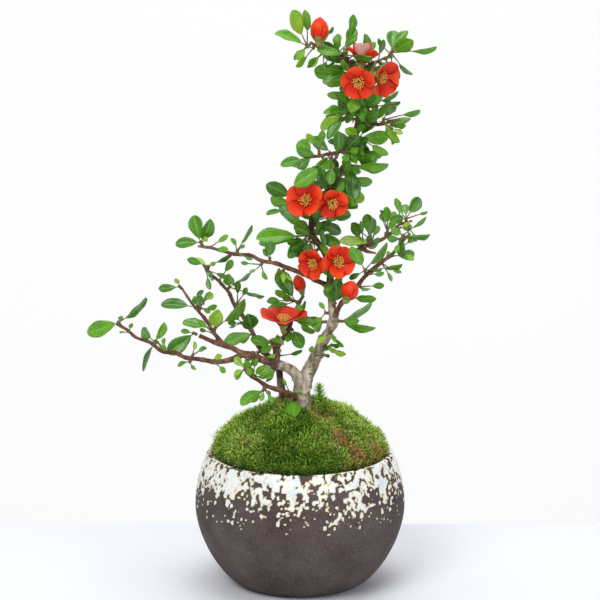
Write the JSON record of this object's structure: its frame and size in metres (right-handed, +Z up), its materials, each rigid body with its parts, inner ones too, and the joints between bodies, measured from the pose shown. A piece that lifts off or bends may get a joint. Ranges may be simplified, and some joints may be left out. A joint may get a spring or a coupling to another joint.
{
  "type": "potted flowering bonsai tree",
  "caption": "Small flowering quince bonsai with an S-curved trunk, red-orange flowers and glossy leaves, growing from a moss mound in a round drip-glazed stoneware pot.",
  "frame": {"origin": "centre of the pot's flat base, on the surface it stands on", "axes": "+Z up the trunk, -Y towards the front of the tree, +X to its right as seen from the front"},
  "size_m": [0.1852, 0.1148, 0.3149],
  "materials": {
    "stoneware": "unglazed dark brown stoneware with a thick white and cream glaze round its upper third",
    "net": "matte black plastic",
    "pumice": "rough porous grains",
    "soil": "damp dark potting soil",
    "moss": "dense live moss, bright green with brown patches",
    "sprout": "soft green needles",
    "bark": "grey-brown bark, redder on the twigs",
    "leaf": "glossy green, paler below",
    "petal": "soft satin red-orange",
    "bud": "satin red with a green and brown calyx",
    "stamen": "matte yellow"
  },
  "bodies": {
    "root": {"bud_low": "bud", "bud_right": "bud", "bud_top": "bud", "drainage_gravel": "pumice", "drainage_net": "net", "flower_base_petals": "petal", "flower_base_stamens": "stamen", "flower_lower_left_petals": "petal", "flower_lower_left_stamens": "stamen", "flower_lower_right_petals": "petal", "flower_lower_right_stamens": "stamen", "flower_middle_left_petals": "petal", "flower_middle_left_stamens": "stamen", "flower_middle_right_petals": "petal", "flower_middle_right_stamens": "stamen", "flower_top_back_petals": "petal", "flower_top_back_stamens": "stamen", "flower_top_front_petals": "petal", "flower_top_front_stamens": "stamen", "flower_top_right_petals": "petal", "flower_top_right_stamens": "stamen", "leaves_back_left_low": "leaf", "leaves_back_left_mid": "leaf", "leaves_back_left_tip": "leaf", "leaves_bend_left": "leaf", "leaves_crook_left": "leaf", "leaves_crook_right": "leaf", "leaves_crown_left": "leaf", "leaves_crown_mid": "leaf", "leaves_crown_right": "leaf", "leaves_fork_end": "leaf", "leaves_fork_low": "leaf", "leaves_fork_mid": "leaf", "leaves_fork_tip": "leaf", "leaves_left_mid": "leaf", "leaves_left_tip": "leaf", "leaves_low_mid": "leaf", "leaves_low_tip": "leaf", "leaves_node_left": "leaf", "leaves_node_right": "leaf", "leaves_node_up": "leaf", "leaves_right_mid": "leaf", "leaves_right_tip": "leaf", "leaves_right_up_mid": "leaf", "leaves_right_up_tip": "leaf", "leaves_second_tip": "leaf", "leaves_top": "leaf", "leaves_twig_left_base": "leaf", "leaves_twig_left_tip": "leaf", "leaves_twig_right": "leaf", "leaves_upper_high": "leaf", "leaves_upper_left_tip": "leaf", "leaves_upper_mid": "leaf", "leaves_upper_top_left": "leaf", "leaves_upper_top_right": "leaf", "moss_cushion": "moss", "moss_sprout": "sprout", "pot": "stoneware", "soil": "soil", "trunk_and_branches": "bark"}
  },
  "joints": []
}
